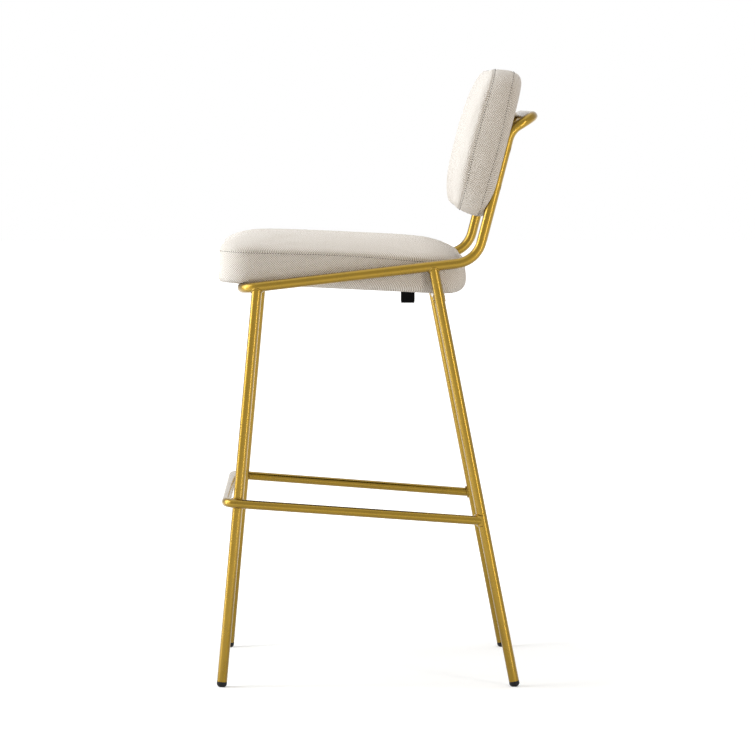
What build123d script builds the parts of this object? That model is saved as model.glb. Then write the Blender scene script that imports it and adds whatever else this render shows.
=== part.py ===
"""Bar stool with footrest: bent steel tube frame, upholstered seat and upholstered backrest.

Millimetres, +Z up, +Y to the rear, +X to the sitter's left. The origin is on the floor, under
the middle of the stool.
"""

import os
from math import cos, radians, sin, sqrt, tan

from build123d import *

os.makedirs("parts", exist_ok=True)

# Frame tube: front bar, side rails, uprights, top bar, legs and rear seat bar
tube_diameter = 18.0
tube_wall = 1.5
rail_spacing = 440.0
front_bar_y = -235.6
front_bar_z = 700.0
rail_length = 413.0
rail_rise = 6.67
upright_length = 236.4
upright_lean = 14.5
grip_straight = 1.8
grip_rise = 31.4
front_bend_radius = 35.0
rear_bend_radius = 50.0
top_bend_radius = 40.0
top_corner_radius = 28.0

# Closing joint in the middle of the front bar
closing_weld_width = 2.0
sleeve_length = 60.0
sleeve_wall = 1.5
sleeve_clearance = 0.1

# Legs
stance_width = 472.0
front_foot_y = -273.2
rear_foot_y = 243.2
front_leg_setback = 26.6
rear_leg_from_bend = 76.6
rear_seat_bar_drop = 56.1

# Footrest tube
footrest_diameter = 16.0
footrest_wall = 1.5
footrest_front_height = 324.6
footrest_rear_height = 292.7
footrest_corner_radius = 20.0
footrest_nose = 0.6
footrest_rear_outset = 4.5
footrest_end_setback = 3.0

# Welds
weld_fit_up = 0.1
leg_weld_size = 5.0
seat_bar_weld_size = 3.0
weld_side = 1.2
weld_slope = 45.0
footrest_weld_size = 3.0
footrest_weld_reach = 12.0

# Glides in the leg ends
glide_length = 9.5
glide_rim = 4.5
glide_dome_margin = 0.75
glide_spigot_length = 16.0
glide_spigot_taper = 2.0
glide_spigot_clearance = 0.1

# Upholstery shared by the seat and the backrest
cover_thickness = 1.2
foam_clearance = 0.2
board_clearance = 0.1
corner_growth = 0.25
corner_limit = 0.4

# Seat pad
seat_front_overhang = 44.8
seat_rear_overhang = 47.8
seat_side_clearance = 3.0
seat_rest_clearance = 0.2
seat_corner_radius = 55.0
seat_bottom_round = 14.0
seat_band_height = 55.0
seat_seam_draw = 4.0
seat_crown_rise = 34.0
seat_crown_run = 100.0
seat_board_thickness = 12.0
seat_board_margin = 1.0
seat_cover_return = 34.0
dust_cover_thickness = 0.8
dust_cover_inset = 22.0

# Back pad
back_side_overhang = 20.0
back_height = 262.0
back_bottom_rise = 75.0
back_upright_sink = 9.0
back_tube_clearance = 0.3
back_corner_radius = 50.0
back_rear_margin = 3.0
back_band_depth = 42.5
back_seam_draw = 4.0
back_crown_rise = 23.5
back_crown_run = 100.0
back_board_thickness = 9.0
back_board_inset = 10.0

# Screws, washers and nuts
screw_diameter = 6.0
screw_clearance = 0.3
screw_head_diameter = 10.5
screw_head_height = 3.3
screw_head_taper = 20.0
screw_socket = 4.0
screw_socket_depth = 2.0
screw_tip = 0.6
washer_diameter = 13.0
washer_thickness = 1.6
tee_nut_flange_diameter = 17.0
tee_nut_flange_thickness = 1.4
tee_nut_barrel_diameter = 8.0
tee_nut_barrel_margin = 1.5
tee_nut_clearance = 0.1
seat_screw_spacing = 160.0
back_screw_low_margin = 10.0
back_screw_top_margin = 17.0
access_hole_clearance = 0.5
plug_clearance = 0.1

# Staples under the seat
staple_width = 10.0
staple_wire = 0.9
staple_leg = 5.0
staple_clearance = 0.1
staple_edge_margin = 4.0
staple_corner_margin = 90.0
staple_bar_margin = 50.0
staples_per_side = 5

# Side tag
tag_width = 23.6
tag_drop = 21.5
tag_thickness = 0.9
tag_corner_radius = 1.5
tag_ahead_of_bar = 54.7

# Sizes that follow from the driving ones
tube_radius = tube_diameter / 2
tube_bore = tube_radius - tube_wall
footrest_radius = footrest_diameter / 2
footrest_bore = footrest_radius - footrest_wall
rail_x = rail_spacing / 2
screw_hole_radius = screw_diameter / 2 + screw_clearance
access_hole_radius = screw_head_diameter / 2 + access_hole_clearance
glide_dome_radius = tube_radius + glide_dome_margin
seat_width = 2 * (rail_x - tube_radius - seat_side_clearance)
seat_board_inset = seat_bottom_round + seat_board_margin
back_width = rail_spacing + 2 * back_side_overhang
back_rear_round = back_upright_sink + back_rear_margin
top_bend_run = top_bend_radius * tan(radians(90 - upright_lean - grip_rise) / 2)
grip_length = top_bend_run + grip_straight + top_corner_radius
x_axis = Vector(1, 0, 0)


def keep(piece, name):
    """Label a finished piece and write it."""
    piece.part.label = name
    export_step(piece.part, f"parts/{name}.step")


def other_side(point):
    """The same point on the other side of the stool."""
    return Vector(-point.X, point.Y, point.Z)


def side_step(length, degrees_up):
    """A step in the YZ plane, so many degrees above the rearward direction."""
    angle = radians(degrees_up)
    return Vector(0, length * cos(angle), length * sin(angle))


# Route of the upper frame tube, from the closing weld up the left side and down the right side
front_turn = Vector(rail_x, front_bar_y, front_bar_z)
rear_turn = front_turn + side_step(rail_length, rail_rise)
top_turn = rear_turn + side_step(upright_length, 90 - upright_lean)
grip_turn = top_turn + side_step(grip_length, grip_rise)
closing_end = Vector(closing_weld_width / 2, front_bar_y, front_bar_z)
left_route = [closing_end, front_turn, rear_turn, top_turn, grip_turn]
left_radii = [front_bend_radius, rear_bend_radius, top_bend_radius, top_corner_radius]
frame_route = left_route + [other_side(point) for point in reversed(left_route)]
frame_radii = left_radii + left_radii[::-1]


def rail_point(along):
    """A point of the left rail's axis, so far from the front bar, with the front bend."""
    into_bend = max(front_bend_radius - along, 0)
    bend_x = rail_x - front_bend_radius + sqrt(front_bend_radius**2 - into_bend**2)
    return Vector(bend_x, front_bar_y, front_bar_z) + side_step(along, rail_rise)


# Leg axes, from the floor to the rail's axis
legs = {
    "front_left": (Vector(stance_width / 2, front_foot_y, 0), rail_point(front_leg_setback)),
    "rear_left": (Vector(stance_width / 2, rear_foot_y, 0), rail_point(rail_length - rear_leg_from_bend)),
}
for left_name, (left_foot, left_top) in list(legs.items()):
    right_name = left_name.replace("left", "right")
    legs[right_name] = (other_side(left_foot), other_side(left_top))


def leg_direction(corner):
    """The direction of a leg's axis, upwards."""
    foot, top = legs[corner]
    return (top - foot).normalized()


def leg_point(corner, height):
    """The point of a leg's axis at this height."""
    foot, top = legs[corner]
    return foot + (top - foot) * (height / top.Z)


# Axis of the rear seat bar, between the rear legs
seat_bar_end = leg_point("rear_left", legs["rear_left"][1].Z - rear_seat_bar_drop)

# Route of the footrest: against the outside of the front legs, ending on the rear legs
rest_front = leg_point("front_left", footrest_front_height)
rest_front += x_axis * (tube_radius + footrest_radius + weld_fit_up)
rest_rear = leg_point("rear_left", footrest_rear_height) + x_axis * footrest_rear_outset
rest_forward = (rest_front - rest_rear).normalized()
rest_corner = rest_front + rest_forward * (footrest_corner_radius + footrest_nose)
rest_end = rest_rear + rest_forward * footrest_end_setback
footrest_route = [rest_end, rest_corner, other_side(rest_corner), other_side(rest_end)]
footrest_radii = [footrest_corner_radius] * 2

# Seat plane: the pad's underside, carried on the tops of the front bar and the rear seat bar
front_bar_middle = Vector(0, front_bar_y, front_bar_z)
seat_bar_middle = Vector(0, seat_bar_end.Y, seat_bar_end.Z)
bar_distance = (seat_bar_middle - front_bar_middle).length
seat_rearward = (seat_bar_middle - front_bar_middle).normalized()
seat_up = x_axis.cross(seat_rearward)
bar_depth = tube_radius + seat_rest_clearance + dust_cover_thickness
seat_depth = seat_front_overhang + bar_distance + seat_rear_overhang
front_bar_at = seat_front_overhang - seat_depth / 2
rear_bar_at = front_bar_at + bar_distance
seat_middle = front_bar_middle + seat_up * bar_depth - seat_rearward * front_bar_at
seat_plane = Plane(origin=seat_middle, x_dir=x_axis, z_dir=seat_up)
seat_screw_x = seat_screw_spacing / 2
seat_screw_spots = [(x, y) for x in (-seat_screw_x, seat_screw_x) for y in (front_bar_at, rear_bar_at)]
seat_board_bottom = cover_thickness + board_clearance
seat_board_top = seat_board_bottom + seat_board_thickness
washer_bottom = -bar_depth - tube_radius - washer_thickness

# Back plane: the rear face of the back pad, with the uprights sunk into it
back_up = side_step(1, 90 - upright_lean)
back_forward = side_step(1, -upright_lean) * -1
upright_foot = Vector(0, rear_turn.Y, rear_turn.Z)
upright_at = back_upright_sink - tube_radius
back_middle = upright_foot + back_up * (back_bottom_rise + back_height / 2) - back_forward * upright_at
back_plane = Plane(origin=back_middle, x_dir=x_axis, z_dir=back_forward)
back_screw_low = back_corner_radius + back_screw_low_margin - back_height / 2
upright_end = upright_length - top_bend_run - back_bottom_rise - back_height / 2
back_screw_high = upright_end - back_screw_top_margin
back_screw_spots = [(x, y) for x in (-rail_x, rail_x) for y in (back_screw_low, back_screw_high)]
back_board_rear = back_upright_sink + back_tube_clearance + cover_thickness + board_clearance
back_board_front = back_board_rear + back_board_thickness
back_head_seat = upright_at + sqrt(tube_bore**2 - (screw_head_diameter / 2) ** 2) - board_clearance


def rod_along(route, radii, radius):
    """A solid rod along straight runs joined by tangent arcs."""
    with BuildPart() as rod:
        with BuildLine() as line:
            FilletPolyline(*route, radius=radii)
        with BuildSketch(Plane(origin=line.line @ 0, z_dir=line.line % 0)):
            Circle(radius)
        sweep(path=line.line)
    return rod.part


def straight_rod(start, end, radius):
    """A solid rod between two points."""
    with BuildPart() as rod:
        with BuildSketch(Plane(origin=start, z_dir=end - start)):
            Circle(radius)
        extrude(amount=(end - start).length)
    return rod.part


def frame_rod(radius):
    """The upper frame's route as a solid rod."""
    return rod_along(frame_route, frame_radii, radius)


def footrest_rod(radius):
    """The footrest's route as a solid rod."""
    return rod_along(footrest_route, footrest_radii, radius)


def leg_rod(corner, radius):
    """A leg's axis as a solid rod."""
    return straight_rod(*legs[corner], radius)


def bar_rods(radius):
    """The two bars that carry the seat as solid rods, between the rails."""
    front = straight_rod(front_bar_middle - x_axis * rail_x, front_bar_middle + x_axis * rail_x, radius)
    rear = straight_rod(other_side(seat_bar_end), seat_bar_end, radius)
    return [front, rear]


def pins_at(plane, spots, radius, start, end):
    """Solid pins at these spots of a plane, from one height above it to another."""
    with BuildPart() as pins:
        with BuildSketch(plane.offset(start)):
            with Locations(*spots):
                Circle(radius)
        extrude(amount=end - start)
    return pins.part


frame_solid = frame_rod(tube_radius)
frame_cope = frame_rod(tube_radius + weld_fit_up)
rear_leg_copes = [leg_rod(corner, tube_radius + weld_fit_up) for corner in ("rear_left", "rear_right")]
seat_screw_pins = pins_at(
    seat_plane, seat_screw_spots, screw_hole_radius, washer_bottom - washer_thickness, seat_board_top
)
back_screw_pins = pins_at(back_plane, back_screw_spots, screw_hole_radius, upright_at, back_board_front)
access_pins = pins_at(
    back_plane, back_screw_spots, access_hole_radius, upright_at - tube_diameter, upright_at
)

# Upper frame tube, drilled for the seat screws and the back screws
frame_bore_rod = frame_rod(tube_bore)
with BuildPart() as upper_frame_tube:
    add(frame_solid)
    add([frame_bore_rod, seat_screw_pins, back_screw_pins, access_pins], mode=Mode.SUBTRACT)
keep(upper_frame_tube, "upper_frame_tube")

# Sleeve and weld that close the frame tube in the middle of the front bar
with BuildPart() as frame_closing_sleeve:
    with BuildSketch(Plane(origin=front_bar_middle, z_dir=x_axis)):
        Circle(tube_bore - sleeve_clearance)
        Circle(tube_bore - sleeve_clearance - sleeve_wall, mode=Mode.SUBTRACT)
    extrude(amount=sleeve_length / 2, both=True)
keep(frame_closing_sleeve, "frame_closing_sleeve")

with BuildPart() as frame_closing_weld:
    with BuildSketch(Plane(origin=front_bar_middle, z_dir=x_axis)):
        Circle(tube_radius)
        Circle(tube_bore, mode=Mode.SUBTRACT)
    extrude(amount=closing_weld_width / 2, both=True)
keep(frame_closing_weld, "frame_closing_weld")

# Legs, coped under the frame tube, and their glides
for corner, (foot, top) in legs.items():
    upwards = leg_direction(corner)
    tube_end = foot + upwards * glide_length
    with BuildPart() as leg:
        with BuildSketch(Plane(origin=tube_end, z_dir=upwards)):
            Circle(tube_radius)
            Circle(tube_bore, mode=Mode.SUBTRACT)
        extrude(amount=(top - tube_end).length)
        add(frame_cope, mode=Mode.SUBTRACT)
    keep(leg, f"{corner}_leg")

    sideways = x_axis - upwards * x_axis.dot(upwards)
    spigot_radius = tube_bore - glide_spigot_clearance
    spigot_top = glide_length + glide_spigot_length
    dome_middle = glide_rim + sqrt(glide_dome_radius**2 - tube_radius**2)
    dome_tip = dome_middle - glide_dome_radius
    dome_side = glide_dome_radius * sin(radians(45))
    with BuildPart() as glide:
        with BuildSketch(Plane(origin=foot, x_dir=sideways, z_dir=sideways.cross(upwards))):
            with BuildLine():
                ThreePointArc(
                    (0, dome_tip), (dome_side, dome_middle - dome_side), (tube_radius, glide_rim)
                )
                Polyline(
                    (tube_radius, glide_rim),
                    (tube_radius, glide_length),
                    (spigot_radius, glide_length),
                    (spigot_radius, spigot_top - glide_spigot_taper),
                    (spigot_radius - glide_spigot_taper / 2, spigot_top),
                    (0, spigot_top),
                    (0, dome_tip),
                )
            make_face()
        revolve(axis=Axis(foot, upwards))
        split(bisect_by=Plane.XY, keep=Keep.TOP)
    keep(glide, f"{corner}_glide")

# Rear seat bar, coped between the rear legs and drilled for the seat screws
with BuildPart() as rear_seat_bar:
    with BuildSketch(Plane(origin=other_side(seat_bar_end), z_dir=x_axis)):
        Circle(tube_radius)
        Circle(tube_bore, mode=Mode.SUBTRACT)
    extrude(amount=2 * seat_bar_end.X)
    add([*rear_leg_copes, seat_screw_pins], mode=Mode.SUBTRACT)
keep(rear_seat_bar, "rear_seat_bar")

# Footrest tube, coped on the rear legs
footrest_solid = footrest_rod(footrest_radius)
footrest_bore_rod = footrest_rod(footrest_bore)
with BuildPart() as footrest_tube:
    add(footrest_solid)
    add([footrest_bore_rod, *rear_leg_copes], mode=Mode.SUBTRACT)
keep(footrest_tube, "footrest_tube")


def weld_bead(joint, inward, size, across, swollen_main, tubes):
    """A bead round the end of a tube that meets another tube's axis at the joint."""
    bead_width = 2 * (tube_radius + weld_side)
    with BuildPart() as bead:
        with BuildSketch(Plane(origin=joint - inward * (tube_radius + size), z_dir=inward)):
            Circle(tube_radius)
        extrude(amount=size, taper=-weld_slope)
        with BuildSketch(Plane(origin=joint - inward * tube_radius, z_dir=inward)):
            Circle(tube_radius + size)
        extrude(amount=tube_radius)
        add(swollen_main, mode=Mode.INTERSECT)
        with BuildSketch(Plane(origin=joint, z_dir=across)):
            Circle(tube_diameter + 2 * size)
        extrude(amount=bead_width / 2, both=True, mode=Mode.INTERSECT)
        add(tubes, mode=Mode.SUBTRACT)
    return bead.part


# Welds at the leg tops
frame_swollen = frame_rod(tube_radius + leg_weld_size)
leg_beads = []
for corner, (foot, top) in legs.items():
    leg_solid = leg_rod(corner, tube_radius)
    leg_beads.append(
        weld_bead(top, leg_direction(corner), leg_weld_size, x_axis, frame_swollen, [frame_solid, leg_solid])
    )
with BuildPart() as leg_welds:
    add(leg_beads)
keep(leg_welds, "leg_welds")

# Welds at the ends of the rear seat bar
seat_bar_solid = straight_rod(other_side(seat_bar_end), seat_bar_end, tube_radius)
seat_bar_beads = []
for corner, joint, inward in (
    ("rear_left", seat_bar_end, x_axis),
    ("rear_right", other_side(seat_bar_end), x_axis * -1),
):
    swollen_leg = leg_rod(corner, tube_radius + seat_bar_weld_size)
    tubes = [leg_rod(corner, tube_radius), seat_bar_solid]
    across = leg_direction(corner).cross(x_axis)
    seat_bar_beads.append(weld_bead(joint, inward, seat_bar_weld_size, across, swollen_leg, tubes))
with BuildPart() as rear_seat_bar_welds:
    add(seat_bar_beads)
keep(rear_seat_bar_welds, "rear_seat_bar_welds")

# Welds where the footrest touches the front legs and where it ends on the rear legs
footrest_swollen = footrest_rod(footrest_radius + footrest_weld_size)
front_beads = []
rear_beads = []
for side, end in (("left", rest_end), ("right", other_side(rest_end))):
    front_leg_swollen = leg_rod(f"front_{side}", tube_radius + footrest_weld_size)
    front_leg_solid = leg_rod(f"front_{side}", tube_radius)
    with BuildPart() as front_bead:
        add(front_leg_swollen)
        add(footrest_swollen, mode=Mode.INTERSECT)
        add([front_leg_solid, footrest_solid], mode=Mode.SUBTRACT)
    front_beads.append(front_bead.part)

    rear_leg_swollen = leg_rod(f"rear_{side}", tube_radius + footrest_weld_size)
    rear_leg_solid = leg_rod(f"rear_{side}", tube_radius)
    forward = rest_forward if side == "left" else other_side(rest_forward)
    collar = straight_rod(
        end + forward * footrest_weld_reach,
        end - forward * footrest_end_setback,
        footrest_radius + footrest_weld_size,
    )
    with BuildPart() as rear_bead:
        add(collar)
        add(rear_leg_swollen, mode=Mode.INTERSECT)
        add([rear_leg_solid, footrest_tube.part], mode=Mode.SUBTRACT)
    rear_beads.append(rear_bead.part)

with BuildPart() as footrest_front_welds:
    add(front_beads)
keep(footrest_front_welds, "footrest_front_welds")

with BuildPart() as footrest_rear_welds:
    add(rear_beads)
keep(footrest_rear_welds, "footrest_rear_welds")


def round_rows(radius, draw, shrink):
    """Heights and insets of a quarter round from a flat face out to a seam."""
    inner = radius - shrink
    rows = []
    for degrees_round in (90, 60, 30, 0):
        angle = radians(degrees_round)
        rows.append((shrink + inner * (1 - sin(angle)), draw + inner * (1 - cos(angle))))
    return rows


def crown_rows(seam, draw, rise, run, shrink):
    """Heights and insets of a crown, from the seam up to its flat top."""
    rows = []
    for degrees_round in (0, 15, 30, 45, 60, 75, 90):
        angle = radians(degrees_round)
        rows.append((seam + (rise - shrink) * sin(angle), draw + run * (1 - cos(angle))))
    return rows


def pad_outline(width, depth, corner, inset):
    """Draw a pad's outline drawn in by an inset, with rounder corners the further in it is."""
    inner_width = width - 2 * inset
    inner_depth = depth - 2 * inset
    inner_corner = min(corner + corner_growth * inset, corner_limit * min(inner_width, inner_depth))
    RectangleRounded(inner_width, inner_depth, inner_corner)


def pad_loft(plane, width, depth, corner, rows):
    """A pad lofted through its outline at each row's height and inset."""
    with BuildPart() as pad:
        for height, inset in rows:
            with BuildSketch(plane.offset(height)):
                pad_outline(width, depth, corner, inset)
        loft()
    return pad.part


def seat_loft(rows, shrink):
    """A form of the seat pad, so far inside its outer surface."""
    return pad_loft(
        seat_plane, seat_width - 2 * shrink, seat_depth - 2 * shrink, seat_corner_radius - shrink, rows
    )


def seat_band(shrink):
    """The seat pad from its rounded lower edge up to its seam."""
    rows = round_rows(seat_bottom_round, 0, shrink)
    for share in (0.5, 1):
        height = seat_bottom_round + (seat_band_height - seat_bottom_round) * share
        rows.append((height, seat_seam_draw * share**2))
    return seat_loft(rows, shrink)


def seat_crown(shrink):
    """The seat pad above its seam."""
    rows = crown_rows(seat_band_height, seat_seam_draw, seat_crown_rise, seat_crown_run, shrink)
    return seat_loft(rows, shrink)


def seat_sheet(inset, start, end):
    """A flat sheet of the seat's outline, so far inside it, between two heights."""
    with BuildPart() as sheet:
        with BuildSketch(seat_plane.offset(start)):
            pad_outline(seat_width, seat_depth, seat_corner_radius, inset)
        extrude(amount=end - start)
    return sheet.part


def staple_sketch(length, width, ends):
    """Draw one staple crown, or its two ends, at each staple under the seat."""
    side_x = seat_width / 2 - dust_cover_inset - staple_edge_margin
    end_y = seat_depth / 2 - dust_cover_inset - staple_edge_margin
    side_pitch = (bar_distance - 2 * staple_bar_margin) / (staples_per_side - 1)
    end_pitch = (seat_width - 2 * staple_corner_margin) / (staples_per_side - 1)
    with Locations((0, (front_bar_at + rear_bar_at) / 2)):
        with GridLocations(2 * side_x, side_pitch, 2, staples_per_side):
            with Locations(*[(0, end) for end in ends]):
                Rectangle(width, length)
    with GridLocations(end_pitch, 2 * end_y, staples_per_side, 2):
        with Locations(*[(end, 0) for end in ends]):
            Rectangle(length, width)


staple_ends = [staple_wire / 2 - staple_width / 2, staple_width / 2 - staple_wire / 2]
staple_slot = staple_wire + 2 * staple_clearance
with BuildPart() as staple_slots:
    with BuildSketch(seat_plane.offset(-dust_cover_thickness)):
        staple_sketch(staple_slot, staple_slot, staple_ends)
    extrude(amount=dust_cover_thickness + staple_leg + staple_clearance)

# Seat covers: the side band with its return under the board, and the crowned top panel
seat_band_outer = seat_band(0)
seat_band_inner = seat_band(cover_thickness)
seat_opening = seat_sheet(seat_cover_return, 0, seat_bottom_round)
with BuildPart() as seat_side_cover:
    add(seat_band_outer)
    add([seat_band_inner, seat_opening, staple_slots.part], mode=Mode.SUBTRACT)
keep(seat_side_cover, "seat_side_cover")

seat_crown_outer = seat_crown(0)
seat_crown_inner = seat_crown(cover_thickness)
with BuildPart() as seat_top_cover:
    add(seat_crown_outer)
    add(seat_crown_inner, mode=Mode.SUBTRACT)
keep(seat_top_cover, "seat_top_cover")

# Seat board, with holes for the nuts
nut_hole_radius = tee_nut_barrel_diameter / 2 + tee_nut_clearance
seat_blank = seat_sheet(seat_board_inset, seat_board_bottom, seat_board_top)
seat_nut_holes = pins_at(seat_plane, seat_screw_spots, nut_hole_radius, seat_board_bottom, seat_board_top)
with BuildPart() as seat_board:
    add(seat_blank)
    add([seat_nut_holes, staple_slots.part], mode=Mode.SUBTRACT)
keep(seat_board, "seat_board")

# Seat foam, over and round the board
seat_foam_shrink = cover_thickness + foam_clearance
seat_foam_parts = [seat_band(seat_foam_shrink), seat_crown(seat_foam_shrink)]
seat_pocket = seat_sheet(seat_board_inset - foam_clearance, 0, seat_board_top + foam_clearance)
nut_recess_radius = tee_nut_flange_diameter / 2 + foam_clearance
nut_recess_depth = tee_nut_flange_thickness + screw_tip + foam_clearance
seat_nut_recesses = pins_at(
    seat_plane, seat_screw_spots, nut_recess_radius, seat_board_top, seat_board_top + nut_recess_depth
)
with BuildPart() as seat_foam:
    add(seat_foam_parts)
    add([seat_pocket, seat_nut_recesses], mode=Mode.SUBTRACT)
keep(seat_foam, "seat_foam")

# Dust cover under the seat and the staples that hold it
dust_cover_blank = seat_sheet(dust_cover_inset, -dust_cover_thickness, 0)
with BuildPart() as seat_dust_cover:
    add(dust_cover_blank)
    add([seat_screw_pins, staple_slots.part], mode=Mode.SUBTRACT)
keep(seat_dust_cover, "seat_dust_cover")

with BuildPart() as seat_staples:
    with BuildSketch(seat_plane.offset(-dust_cover_thickness)):
        staple_sketch(staple_width, staple_wire, [0])
    extrude(amount=-staple_wire)
    with BuildSketch(seat_plane.offset(-dust_cover_thickness)):
        staple_sketch(staple_wire, staple_wire, staple_ends)
    extrude(amount=dust_cover_thickness + staple_leg)
keep(seat_staples, "seat_staples")


def tee_nuts(plane, spots, seat, board_thickness):
    """Tee nuts whose flanges lie on a board's face at this height, with barrels in the board."""
    bore_radius = screw_diameter / 2 + tee_nut_clearance
    barrel_length = board_thickness - tee_nut_barrel_margin
    with BuildPart() as nuts:
        with BuildSketch(plane.offset(seat)):
            with Locations(*spots):
                Circle(tee_nut_flange_diameter / 2)
        extrude(amount=tee_nut_flange_thickness)
        with BuildSketch(plane.offset(seat)):
            with Locations(*spots):
                Circle(tee_nut_barrel_diameter / 2)
        extrude(amount=-barrel_length)
        with BuildSketch(plane.offset(seat + tee_nut_flange_thickness)):
            with Locations(*spots):
                Circle(bore_radius)
        extrude(amount=-tee_nut_flange_thickness - barrel_length, mode=Mode.SUBTRACT)
    return nuts


def screws(plane, spots, head_seat, tip):
    """Button-head screws with a hexagon socket, from the seat of the head up to the tip."""
    with BuildPart() as fasteners:
        with BuildSketch(plane.offset(head_seat)):
            with Locations(*spots):
                Circle(screw_head_diameter / 2)
        extrude(amount=-screw_head_height, taper=screw_head_taper)
        with BuildSketch(plane.offset(head_seat)):
            with Locations(*spots):
                Circle(screw_diameter / 2)
        extrude(amount=tip - head_seat)
        with BuildSketch(plane.offset(head_seat - screw_head_height)):
            with Locations(*spots):
                RegularPolygon(screw_socket / 2, 6, major_radius=False)
        extrude(amount=screw_socket_depth, mode=Mode.SUBTRACT)
    return fasteners


# Seat fixings: nuts on the board, saddle washers under the bars and screws through both
seat_tee_nuts = tee_nuts(seat_plane, seat_screw_spots, seat_board_top, seat_board_thickness)
keep(seat_tee_nuts, "seat_tee_nuts")

washer_blanks = pins_at(seat_plane, seat_screw_spots, washer_diameter / 2, washer_bottom, -bar_depth)
washer_cutters = [*bar_rods(tube_radius + weld_fit_up), seat_screw_pins]
with BuildPart() as seat_saddle_washers:
    add(washer_blanks)
    add(washer_cutters, mode=Mode.SUBTRACT)
keep(seat_saddle_washers, "seat_saddle_washers")

seat_screw_tip = seat_board_top + tee_nut_flange_thickness + screw_tip
seat_screws = screws(seat_plane, seat_screw_spots, washer_bottom, seat_screw_tip)
keep(seat_screws, "seat_screws")

# Side tag, sewn under the left edge of the seat
tag_x = seat_width / 2 - seat_bottom_round - tag_thickness
tag_middle = seat_plane.from_local_coords(Vector(tag_x, rear_bar_at - tag_ahead_of_bar, 0))
with BuildPart() as side_tag:
    with BuildSketch(Plane(origin=tag_middle, x_dir=seat_rearward, z_dir=x_axis)) as tag_outline:
        Rectangle(tag_width, tag_drop, align=(Align.CENTER, Align.MAX))
        fillet(tag_outline.vertices().group_by(Axis.Z)[0], tag_corner_radius)
    extrude(amount=tag_thickness / 2, both=True)
keep(side_tag, "side_tag")


def back_loft(rows, shrink):
    """A form of the back pad, so far inside its outer surface."""
    return pad_loft(
        back_plane, back_width - 2 * shrink, back_height - 2 * shrink, back_corner_radius - shrink, rows
    )


def back_rear(shrink):
    """The back pad's rear panel, out to the rear seam."""
    return back_loft(round_rows(back_rear_round, back_seam_draw, shrink), shrink)


def back_band(shrink):
    """The back pad between its two seams, drawn in at both."""
    rows = []
    for share in (-1, -0.5, 0, 0.5, 1):
        height = back_rear_round + back_band_depth * (1 + share) / 2
        rows.append((height, back_seam_draw * share**2))
    return back_loft(rows, shrink)


def back_crown(shrink):
    """The back pad in front of its front seam."""
    seam = back_rear_round + back_band_depth
    return back_loft(crown_rows(seam, back_seam_draw, back_crown_rise, back_crown_run, shrink), shrink)


# Back covers: rear panel with grooves for the uprights, side band and crowned front panel
groove_radius = tube_radius + back_tube_clearance
groove_outer = frame_rod(groove_radius)
groove_inner = frame_rod(groove_radius + cover_thickness)
back_rear_outer = back_rear(0)
back_rear_inner = back_rear(cover_thickness)
with BuildPart() as back_rear_filling:
    add(back_rear_inner)
    add(groove_inner, mode=Mode.SUBTRACT)
with BuildPart() as back_rear_cover:
    add(back_rear_outer)
    add([groove_outer, back_rear_filling.part, back_screw_pins], mode=Mode.SUBTRACT)
keep(back_rear_cover, "back_rear_cover")

back_band_outer = back_band(0)
back_band_inner = back_band(cover_thickness)
with BuildPart() as back_side_cover:
    add(back_band_outer)
    add(back_band_inner, mode=Mode.SUBTRACT)
keep(back_side_cover, "back_side_cover")

back_crown_outer = back_crown(0)
back_crown_inner = back_crown(cover_thickness)
with BuildPart() as back_front_cover:
    add(back_crown_outer)
    add(back_crown_inner, mode=Mode.SUBTRACT)
keep(back_front_cover, "back_front_cover")


def back_sheet(inset, start, end):
    """A flat sheet of the back's outline, so far inside it, between two depths."""
    with BuildPart() as sheet:
        with BuildSketch(back_plane.offset(start)):
            pad_outline(back_width, back_height, back_corner_radius, inset)
        extrude(amount=end - start)
    return sheet.part


# Back board, with holes for the nuts
back_blank = back_sheet(back_board_inset, back_board_rear, back_board_front)
back_nut_holes = pins_at(back_plane, back_screw_spots, nut_hole_radius, back_board_rear, back_board_front)
with BuildPart() as back_board:
    add(back_blank)
    add(back_nut_holes, mode=Mode.SUBTRACT)
keep(back_board, "back_board")

# Back foam, round the board
back_foam_shrink = cover_thickness + foam_clearance
back_foam_parts = [back_rear(back_foam_shrink), back_band(back_foam_shrink), back_crown(back_foam_shrink)]
back_pocket = back_sheet(
    back_board_inset - foam_clearance, back_board_rear - foam_clearance, back_board_front + foam_clearance
)
back_nut_recesses = pins_at(
    back_plane, back_screw_spots, nut_recess_radius, back_board_front, back_board_front + nut_recess_depth
)
groove_foam = frame_rod(groove_radius + cover_thickness + foam_clearance)
with BuildPart() as back_foam:
    add(back_foam_parts)
    add([groove_foam, back_pocket, back_nut_recesses, back_screw_pins], mode=Mode.SUBTRACT)
keep(back_foam, "back_foam")

# Back fixings: nuts on the board, screws inside the uprights and plugs in the access holes
back_tee_nuts = tee_nuts(back_plane, back_screw_spots, back_board_front, back_board_thickness)
keep(back_tee_nuts, "back_tee_nuts")

back_screw_tip = back_board_front + tee_nut_flange_thickness + screw_tip
back_screws = screws(back_plane, back_screw_spots, back_head_seat, back_screw_tip)
keep(back_screws, "back_screws")

plug_radius = access_hole_radius - plug_clearance
plug_blanks = pins_at(back_plane, back_screw_spots, plug_radius, upright_at - tube_diameter, upright_at)
with BuildPart() as back_hole_plugs:
    add(plug_blanks)
    add(frame_solid, mode=Mode.INTERSECT)
    add(frame_bore_rod, mode=Mode.SUBTRACT)
keep(back_hole_plugs, "back_hole_plugs")
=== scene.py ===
"""Looks of a bar stool with a footrest: cushions, seams, finishes and a plain studio."""

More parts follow.
